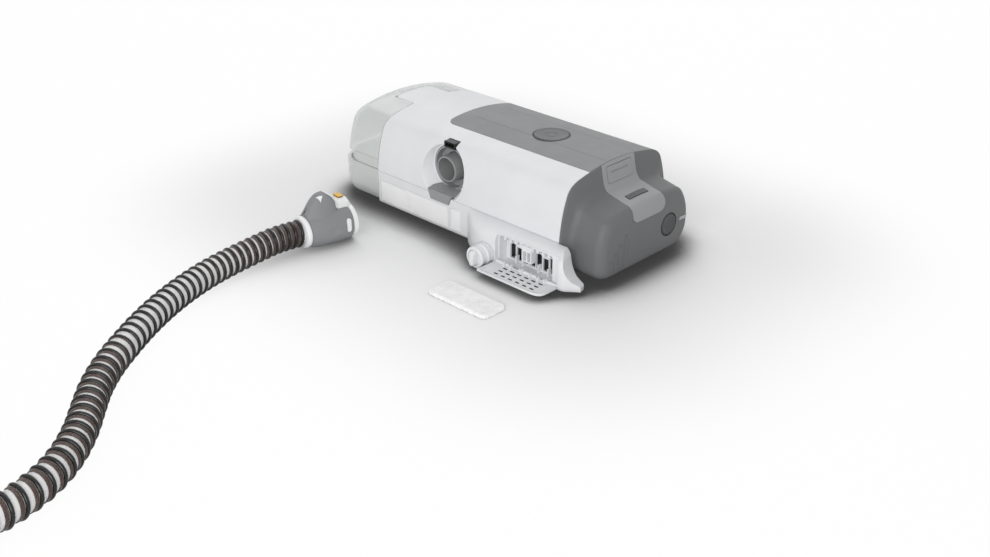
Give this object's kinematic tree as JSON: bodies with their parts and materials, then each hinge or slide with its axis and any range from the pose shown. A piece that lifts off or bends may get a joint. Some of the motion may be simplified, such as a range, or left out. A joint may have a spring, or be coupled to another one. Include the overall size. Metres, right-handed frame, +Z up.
{
  "type": "bilevel breathing machine",
  "caption": "Bilevel breathing machine with clear water chamber, battery pack, open filter bay with its pad beside it, and a ribbed heated hose on the table.",
  "frame": {"origin": "on the table under the middle of the machine and its filter pad, hose left out", "axes": "+X from the water chamber to the battery pack, +Z up, -Y towards the air outlet side"},
  "size_m": [0.3494, 0.8337, 0.0831],
  "materials": {
    "casing_white": "fine satin moulding",
    "panel_grey": "fine matt moulding",
    "button_grey": "satin",
    "outlet_grey": "satin",
    "pack_grey": "fine matt moulding",
    "inlay_grey": "satin",
    "light_lens": "clear lens",
    "dark_plastic": "satin",
    "contact_gold": "plated",
    "chamber_clear": "clear moulding, frosted inside",
    "seal_silicone": "satin silicone",
    "foot_rubber": "matt",
    "steel": "machined",
    "heat_plate": "brushed",
    "board_green": "solder mask",
    "foam_grey": "open foam",
    "filter_fibre": "felted fibre",
    "display_black": "polished window",
    "cell_wrap": "shrink film",
    "duct_white": "satin",
    "hose_black": "ribbed film over a wire helix",
    "cuff_white": "satin",
    "cuff_grey": "soft satin"
  },
  "bodies": {
    "machine": {"top_shell": "casing_white", "bottom_shell": "casing_white", "top_panel": "panel_grey", "start_switch": "dark_plastic", "display_window": "display_black", "display_module": "dark_plastic", "front_board": "board_green", "outlet_bezel": "outlet_grey", "outlet_spigot": "outlet_grey", "contact_socket": "dark_plastic", "socket_contacts": "contact_gold", "return_duct": "duct_white", "supply_duct": "duct_white", "dock_seals": "seal_silicone", "blower_housing": "dark_plastic", "blower_motor": "steel", "blower_mounts": "foot_rubber", "muffler_foam": "foam_grey", "main_board": "board_green", "filter_grid": "casing_white", "door_pin": "steel", "oxygen_port": "casing_white", "battery_socket": "dark_plastic", "foot_chamber_side": "foot_rubber", "foot_battery_side": "foot_rubber", "base_screw_rear": "steel", "base_screw_front": "steel", "dc_inlet": "dark_plastic", "heater_plate": "heat_plate", "hose_run": "hose_black", "hose_coil": "hose_black", "hose_cuff_body": "cuff_white", "hose_cuff_grip": "cuff_grey", "cuff_contacts": "contact_gold", "mask_cuff": "cuff_grey"},
    "start_button": {"start_button": "button_grey"},
    "menu_button_left": {"menu_button_left": "button_grey"},
    "menu_button_middle": {"menu_button_middle": "button_grey"},
    "menu_button_right": {"menu_button_right": "button_grey"},
    "impeller": {"blower_impeller": "duct_white"},
    "filter_door": {"filter_door": "casing_white"},
    "filter_pad": {"filter_pad": "filter_fibre"},
    "oxygen_cap": {"oxygen_cap": "casing_white"},
    "battery": {"battery_case": "pack_grey", "battery_sleeve": "pack_grey", "battery_inlay": "inlay_grey", "charge_window": "button_grey", "battery_light": "light_lens", "battery_cells": "cell_wrap", "battery_board": "board_green"},
    "battery_release": {"battery_release_button": "inlay_grey"},
    "battery_check": {"battery_check_button": "button_grey"},
    "chamber": {"water_tub": "chamber_clear", "tub_heat_plate": "heat_plate", "tub_manifold": "chamber_clear", "lid_hinge_pin": "duct_white", "lid_seal": "seal_silicone"},
    "lid": {"tub_lid": "chamber_clear"}
  },
  "joints": [
    {"name": "start_button_press", "type": "slide", "parent": "machine", "child": "start_button", "axis": [0, 0, -1], "range_m": [0, 0.0008], "stiffness_N_per_m": 600},
    {"name": "menu_left_press", "type": "slide", "parent": "machine", "child": "menu_button_left", "axis": [0, -1, 0], "range_m": [0, 0.0008], "stiffness_N_per_m": 500},
    {"name": "menu_middle_press", "type": "slide", "parent": "machine", "child": "menu_button_middle", "axis": [0, -1, 0], "range_m": [0, 0.0008], "stiffness_N_per_m": 500},
    {"name": "menu_right_press", "type": "slide", "parent": "machine", "child": "menu_button_right", "axis": [0, -1, 0], "range_m": [0, 0.0008], "stiffness_N_per_m": 500},
    {"name": "impeller_spin", "type": "hinge", "parent": "machine", "child": "impeller", "pos_m": [0.0245, 0.04325, 0.026], "axis": [0, 0, 1], "continuous": true},
    {"name": "filter_door_hinge", "type": "hinge", "parent": "machine", "child": "filter_door", "pos_m": [0.0915, -0.03735, 0.0056], "axis": [-1, 0, 0], "range_deg": [0, 90]},
    {"name": "filter_pad_lift", "type": "slide", "parent": "machine", "child": "filter_pad", "axis": [0, 0, 1], "range_m": [0, 0.06]},
    {"name": "oxygen_cap_pull", "type": "slide", "parent": "machine", "child": "oxygen_cap", "axis": [0, -1, 0], "range_m": [0, 0.02]},
    {"name": "battery_slide", "type": "slide", "parent": "machine", "child": "battery", "axis": [1, 0, 0], "range_m": [0, 0.075]},
    {"name": "battery_release_press", "type": "slide", "parent": "battery", "child": "battery_release", "axis": [-1, 0, 0], "range_m": [0, 0.001], "stiffness_N_per_m": 700},
    {"name": "battery_check_press", "type": "slide", "parent": "battery", "child": "battery_check", "axis": [-1, 0, 0], "range_m": [0, 0.0008], "stiffness_N_per_m": 500},
    {"name": "chamber_slide", "type": "slide", "parent": "machine", "child": "chamber", "axis": [-1, 0, 0], "range_m": [0, 0.11]},
    {"name": "lid_hinge", "type": "hinge", "parent": "chamber", "child": "lid", "pos_m": [-0.1388, 0.041, 0.0373], "axis": [0, -1, 0], "range_deg": [0, 90]}
  ]
}
